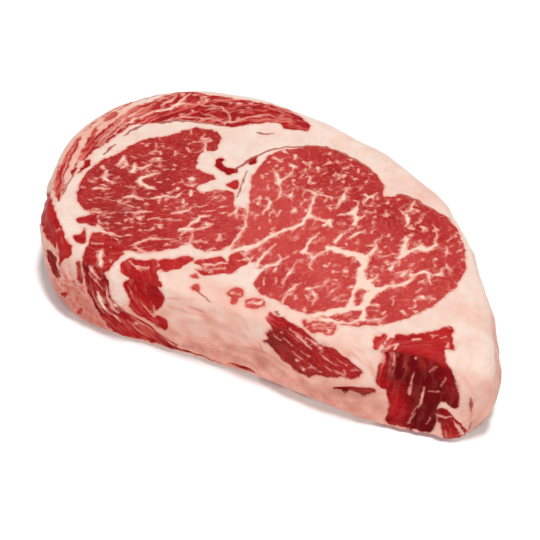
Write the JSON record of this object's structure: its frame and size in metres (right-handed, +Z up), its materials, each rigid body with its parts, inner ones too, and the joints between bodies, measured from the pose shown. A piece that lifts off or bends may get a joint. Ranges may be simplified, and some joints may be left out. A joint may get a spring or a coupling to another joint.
{
  "type": "raw ribeye steak",
  "caption": "Thick boneless raw ribeye slice lying on its lower cut face: marbled lean muscles with seams and a rim of fat, and a ridged side wall.",
  "frame": {"origin": "on the surface it rests on, below the middle of its bounding box", "axes": "+Z up out of the upper cut face; +X along the slice towards the narrow chine end; -Y towards the side that the rib bones were cut from"},
  "size_m": [0.2048, 0.1222, 0.0357],
  "materials": {
    "raw_beef": "moist raw meat, semi-gloss, lean and fat"
  },
  "bodies": {
    "root": {"steak": "raw_beef"}
  },
  "joints": []
}
